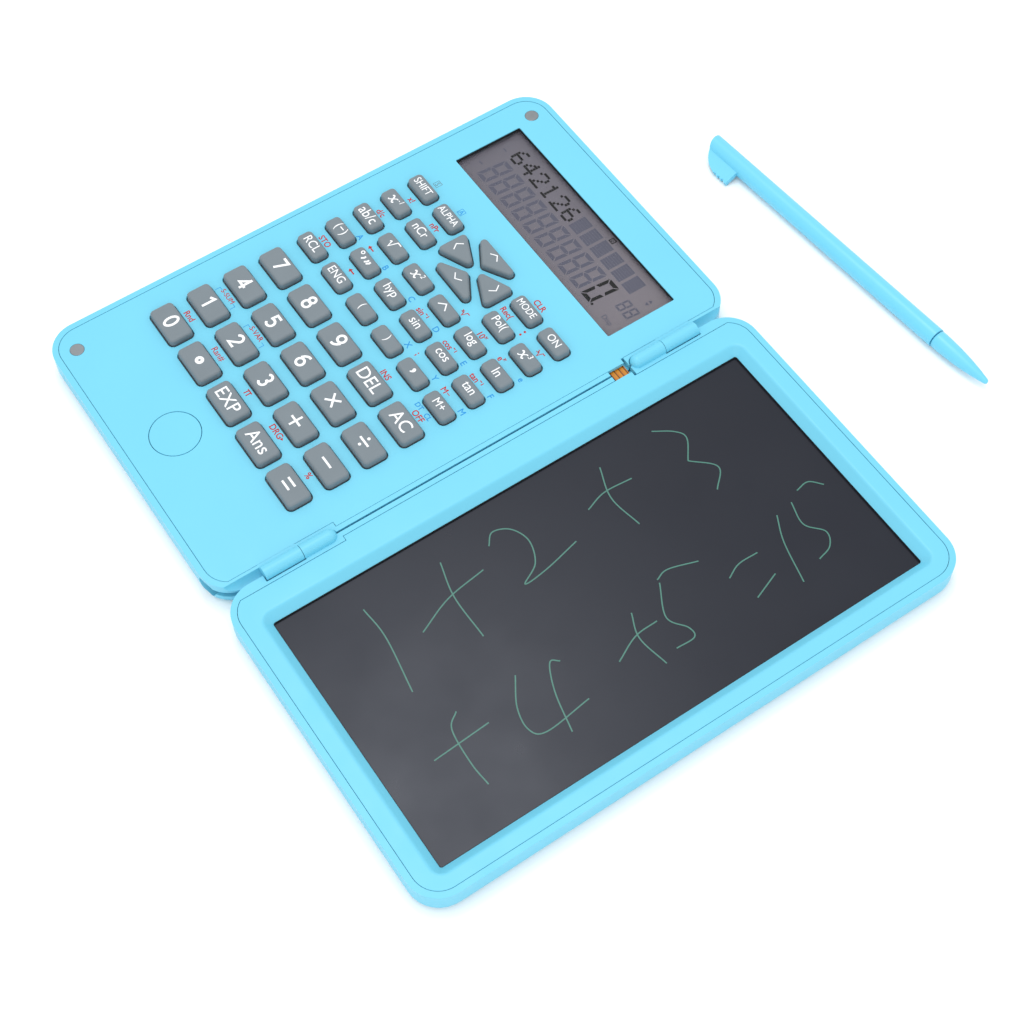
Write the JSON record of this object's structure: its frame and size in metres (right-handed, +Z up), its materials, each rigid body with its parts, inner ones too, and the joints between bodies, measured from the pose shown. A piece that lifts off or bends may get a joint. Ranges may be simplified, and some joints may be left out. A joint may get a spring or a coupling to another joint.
{
  "type": "folding scientific calculator",
  "caption": "Pocket scientific calculator that folds over a pressure-sensitive writing tablet, with rubber keys, a recessed display and a slide-in stylus.",
  "frame": {"origin": "centre of the calculator half's flat underside, on the surface that the open object lies on", "axes": "+X along the hinge line towards the display end, +Y from the tablet half towards the calculator half, +Z up out of the keys"},
  "size_m": [0.209, 0.1974, 0.0102],
  "materials": {
    "shell": "satin moulded ABS, fine spark texture",
    "key_rubber": "soft matt silicone with white legends",
    "mat_rubber": "matt",
    "circuit_board": "solder mask",
    "chip_epoxy": "glossy potting epoxy",
    "display_cell": "grey-mauve reflective liquid crystal cell",
    "clear_window": "clear polished acrylic",
    "steel": "bright nickel-plated",
    "magnet": "dull nickel-plated",
    "contact_metal": "plated spring strip",
    "ribbon_film": "amber polyimide over copper tracks",
    "writing_film": "dark slate pressure-sensitive film, slightly glossy"
  },
  "bodies": {
    "calculator_half": {"calculator_case": "shell", "calculator_face": "shell", "keypad_mat": "mat_rubber", "main_board": "circuit_board", "controller_chips": "chip_epoxy", "display_panel": "display_cell", "display_window": "clear_window", "erase_switch": "steel", "battery_contacts": "contact_metal", "face_magnets": "magnet", "hinge_pins": "steel", "flex_ribbon": "ribbon_film", "calculator_screws": "steel"},
    "tablet_half": {"tablet_back": "shell", "tablet_bezel": "shell", "writing_panel": "writing_film", "tablet_magnets": "magnet", "tablet_screws": "steel"},
    "erase_button": {"erase_button": "shell"},
    "battery_tray": {"battery_tray": "shell", "coin_cell": "steel"},
    "stylus": {"stylus_barrel": "shell", "stylus_tip": "shell"},
    "key_0": {"key_0": "key_rubber"},
    "key_point": {"key_point": "key_rubber"},
    "key_exp": {"key_exp": "key_rubber"},
    "key_ans": {"key_ans": "key_rubber"},
    "key_equals": {"key_equals": "key_rubber"},
    "key_1": {"key_1": "key_rubber"},
    "key_2": {"key_2": "key_rubber"},
    "key_3": {"key_3": "key_rubber"},
    "key_plus": {"key_plus": "key_rubber"},
    "key_minus": {"key_minus": "key_rubber"},
    "key_4": {"key_4": "key_rubber"},
    "key_5": {"key_5": "key_rubber"},
    "key_6": {"key_6": "key_rubber"},
    "key_times": {"key_times": "key_rubber"},
    "key_divide": {"key_divide": "key_rubber"},
    "key_7": {"key_7": "key_rubber"},
    "key_8": {"key_8": "key_rubber"},
    "key_9": {"key_9": "key_rubber"},
    "key_del": {"key_del": "key_rubber"},
    "key_ac": {"key_ac": "key_rubber"},
    "keys_recall_eng": {"keys_recall_eng": "key_rubber"},
    "keys_brackets": {"keys_brackets": "key_rubber"},
    "keys_comma_memory": {"keys_comma_memory": "key_rubber"},
    "keys_negative_degrees": {"keys_negative_degrees": "key_rubber"},
    "keys_hyp_sin": {"keys_hyp_sin": "key_rubber"},
    "keys_cos_tan": {"keys_cos_tan": "key_rubber"},
    "keys_fraction_root": {"keys_fraction_root": "key_rubber"},
    "keys_square_power": {"keys_square_power": "key_rubber"},
    "keys_log_ln": {"keys_log_ln": "key_rubber"},
    "keys_inverse_choose": {"keys_inverse_choose": "key_rubber"},
    "keys_polar_cube": {"keys_polar_cube": "key_rubber"},
    "keys_shift_alpha": {"keys_shift_alpha": "key_rubber"},
    "keys_mode_on": {"keys_mode_on": "key_rubber"},
    "key_left": {"key_left": "key_rubber"},
    "key_right": {"key_right": "key_rubber"},
    "key_up": {"key_up": "key_rubber"},
    "key_down": {"key_down": "key_rubber"}
  },
  "joints": [
    {"name": "fold_hinge", "type": "hinge", "parent": "calculator_half", "child": "tablet_half", "pos_m": [0, -0.0495, 0.00815], "axis": [-1, 0, 0], "range_deg": [0, 180], "deforming": ["flex_ribbon"]},
    {"name": "erase_press", "type": "slide", "parent": "calculator_half", "child": "erase_button", "axis": [0, 0, -1], "range_m": [0, 0.0005], "stiffness_N_per_m": 1200, "springref_m": -0.0002},
    {"name": "battery_tray_slide", "type": "slide", "parent": "calculator_half", "child": "battery_tray", "axis": [-1, 0, 0], "range_m": [0, 0.027]},
    {"name": "stylus_lift", "type": "slide", "parent": "calculator_half", "child": "stylus", "axis": [0, 0, 1], "range_m": [0, 0.05]},
    {"name": "key_0_press", "type": "slide", "parent": "calculator_half", "child": "key_0", "axis": [0, 0, -1], "range_m": [0, 0.0008], "stiffness_N_per_m": 800, "springref_m": -0.0002},
    {"name": "key_point_press", "type": "slide", "parent": "calculator_half", "child": "key_point", "axis": [0, 0, -1], "range_m": [0, 0.0008], "stiffness_N_per_m": 800, "springref_m": -0.0002},
    {"name": "key_exp_press", "type": "slide", "parent": "calculator_half", "child": "key_exp", "axis": [0, 0, -1], "range_m": [0, 0.0008], "stiffness_N_per_m": 800, "springref_m": -0.0002},
    {"name": "key_ans_press", "type": "slide", "parent": "calculator_half", "child": "key_ans", "axis": [0, 0, -1], "range_m": [0, 0.0008], "stiffness_N_per_m": 800, "springref_m": -0.0002},
    {"name": "key_equals_press", "type": "slide", "parent": "calculator_half", "child": "key_equals", "axis": [0, 0, -1], "range_m": [0, 0.0008], "stiffness_N_per_m": 800, "springref_m": -0.0002},
    {"name": "key_1_press", "type": "slide", "parent": "calculator_half", "child": "key_1", "axis": [0, 0, -1], "range_m": [0, 0.0008], "stiffness_N_per_m": 800, "springref_m": -0.0002},
    {"name": "key_2_press", "type": "slide", "parent": "calculator_half", "child": "key_2", "axis": [0, 0, -1], "range_m": [0, 0.0008], "stiffness_N_per_m": 800, "springref_m": -0.0002},
    {"name": "key_3_press", "type": "slide", "parent": "calculator_half", "child": "key_3", "axis": [0, 0, -1], "range_m": [0, 0.0008], "stiffness_N_per_m": 800, "springref_m": -0.0002},
    {"name": "key_plus_press", "type": "slide", "parent": "calculator_half", "child": "key_plus", "axis": [0, 0, -1], "range_m": [0, 0.0008], "stiffness_N_per_m": 800, "springref_m": -0.0002},
    {"name": "key_minus_press", "type": "slide", "parent": "calculator_half", "child": "key_minus", "axis": [0, 0, -1], "range_m": [0, 0.0008], "stiffness_N_per_m": 800, "springref_m": -0.0002},
    {"name": "key_4_press", "type": "slide", "parent": "calculator_half", "child": "key_4", "axis": [0, 0, -1], "range_m": [0, 0.0008], "stiffness_N_per_m": 800, "springref_m": -0.0002},
    {"name": "key_5_press", "type": "slide", "parent": "calculator_half", "child": "key_5", "axis": [0, 0, -1], "range_m": [0, 0.0008], "stiffness_N_per_m": 800, "springref_m": -0.0002},
    {"name": "key_6_press", "type": "slide", "parent": "calculator_half", "child": "key_6", "axis": [0, 0, -1], "range_m": [0, 0.0008], "stiffness_N_per_m": 800, "springref_m": -0.0002},
    {"name": "key_times_press", "type": "slide", "parent": "calculator_half", "child": "key_times", "axis": [0, 0, -1], "range_m": [0, 0.0008], "stiffness_N_per_m": 800, "springref_m": -0.0002},
    {"name": "key_divide_press", "type": "slide", "parent": "calculator_half", "child": "key_divide", "axis": [0, 0, -1], "range_m": [0, 0.0008], "stiffness_N_per_m": 800, "springref_m": -0.0002},
    {"name": "key_7_press", "type": "slide", "parent": "calculator_half", "child": "key_7", "axis": [0, 0, -1], "range_m": [0, 0.0008], "stiffness_N_per_m": 800, "springref_m": -0.0002},
    {"name": "key_8_press", "type": "slide", "parent": "calculator_half", "child": "key_8", "axis": [0, 0, -1], "range_m": [0, 0.0008], "stiffness_N_per_m": 800, "springref_m": -0.0002},
    {"name": "key_9_press", "type": "slide", "parent": "calculator_half", "child": "key_9", "axis": [0, 0, -1], "range_m": [0, 0.0008], "stiffness_N_per_m": 800, "springref_m": -0.0002},
    {"name": "key_del_press", "type": "slide", "parent": "calculator_half", "child": "key_del", "axis": [0, 0, -1], "range_m": [0, 0.0008], "stiffness_N_per_m": 800, "springref_m": -0.0002},
    {"name": "key_ac_press", "type": "slide", "parent": "calculator_half", "child": "key_ac", "axis": [0, 0, -1], "range_m": [0, 0.0008], "stiffness_N_per_m": 800, "springref_m": -0.0002},
    {"name": "keys_recall_eng_press", "type": "slide", "parent": "calculator_half", "child": "keys_recall_eng", "axis": [0, 0, -1], "range_m": [0, 0.0008], "stiffness_N_per_m": 800, "springref_m": -0.0002},
    {"name": "keys_brackets_press", "type": "slide", "parent": "calculator_half", "child": "keys_brackets", "axis": [0, 0, -1], "range_m": [0, 0.0008], "stiffness_N_per_m": 800, "springref_m": -0.0002},
    {"name": "keys_comma_memory_press", "type": "slide", "parent": "calculator_half", "child": "keys_comma_memory", "axis": [0, 0, -1], "range_m": [0, 0.0008], "stiffness_N_per_m": 800, "springref_m": -0.0002},
    {"name": "keys_negative_degrees_press", "type": "slide", "parent": "calculator_half", "child": "keys_negative_degrees", "axis": [0, 0, -1], "range_m": [0, 0.0008], "stiffness_N_per_m": 800, "springref_m": -0.0002},
    {"name": "keys_hyp_sin_press", "type": "slide", "parent": "calculator_half", "child": "keys_hyp_sin", "axis": [0, 0, -1], "range_m": [0, 0.0008], "stiffness_N_per_m": 800, "springref_m": -0.0002},
    {"name": "keys_cos_tan_press", "type": "slide", "parent": "calculator_half", "child": "keys_cos_tan", "axis": [0, 0, -1], "range_m": [0, 0.0008], "stiffness_N_per_m": 800, "springref_m": -0.0002},
    {"name": "keys_fraction_root_press", "type": "slide", "parent": "calculator_half", "child": "keys_fraction_root", "axis": [0, 0, -1], "range_m": [0, 0.0008], "stiffness_N_per_m": 800, "springref_m": -0.0002},
    {"name": "keys_square_power_press", "type": "slide", "parent": "calculator_half", "child": "keys_square_power", "axis": [0, 0, -1], "range_m": [0, 0.0008], "stiffness_N_per_m": 800, "springref_m": -0.0002},
    {"name": "keys_log_ln_press", "type": "slide", "parent": "calculator_half", "child": "keys_log_ln", "axis": [0, 0, -1], "range_m": [0, 0.0008], "stiffness_N_per_m": 800, "springref_m": -0.0002},
    {"name": "keys_inverse_choose_press", "type": "slide", "parent": "calculator_half", "child": "keys_inverse_choose", "axis": [0, 0, -1], "range_m": [0, 0.0008], "stiffness_N_per_m": 800, "springref_m": -0.0002},
    {"name": "keys_polar_cube_press", "type": "slide", "parent": "calculator_half", "child": "keys_polar_cube", "axis": [0, 0, -1], "range_m": [0, 0.0008], "stiffness_N_per_m": 800, "springref_m": -0.0002},
    {"name": "keys_shift_alpha_press", "type": "slide", "parent": "calculator_half", "child": "keys_shift_alpha", "axis": [0, 0, -1], "range_m": [0, 0.0008], "stiffness_N_per_m": 800, "springref_m": -0.0002},
    {"name": "keys_mode_on_press", "type": "slide", "parent": "calculator_half", "child": "keys_mode_on", "axis": [0, 0, -1], "range_m": [0, 0.0008], "stiffness_N_per_m": 800, "springref_m": -0.0002},
    {"name": "key_left_press", "type": "slide", "parent": "calculator_half", "child": "key_left", "axis": [0, 0, -1], "range_m": [0, 0.0008], "stiffness_N_per_m": 800, "springref_m": -0.0002},
    {"name": "key_right_press", "type": "slide", "parent": "calculator_half", "child": "key_right", "axis": [0, 0, -1], "range_m": [0, 0.0008], "stiffness_N_per_m": 800, "springref_m": -0.0002},
    {"name": "key_up_press", "type": "slide", "parent": "calculator_half", "child": "key_up", "axis": [0, 0, -1], "range_m": [0, 0.0008], "stiffness_N_per_m": 800, "springref_m": -0.0002},
    {"name": "key_down_press", "type": "slide", "parent": "calculator_half", "child": "key_down", "axis": [0, 0, -1], "range_m": [0, 0.0008], "stiffness_N_per_m": 800, "springref_m": -0.0002}
  ]
}
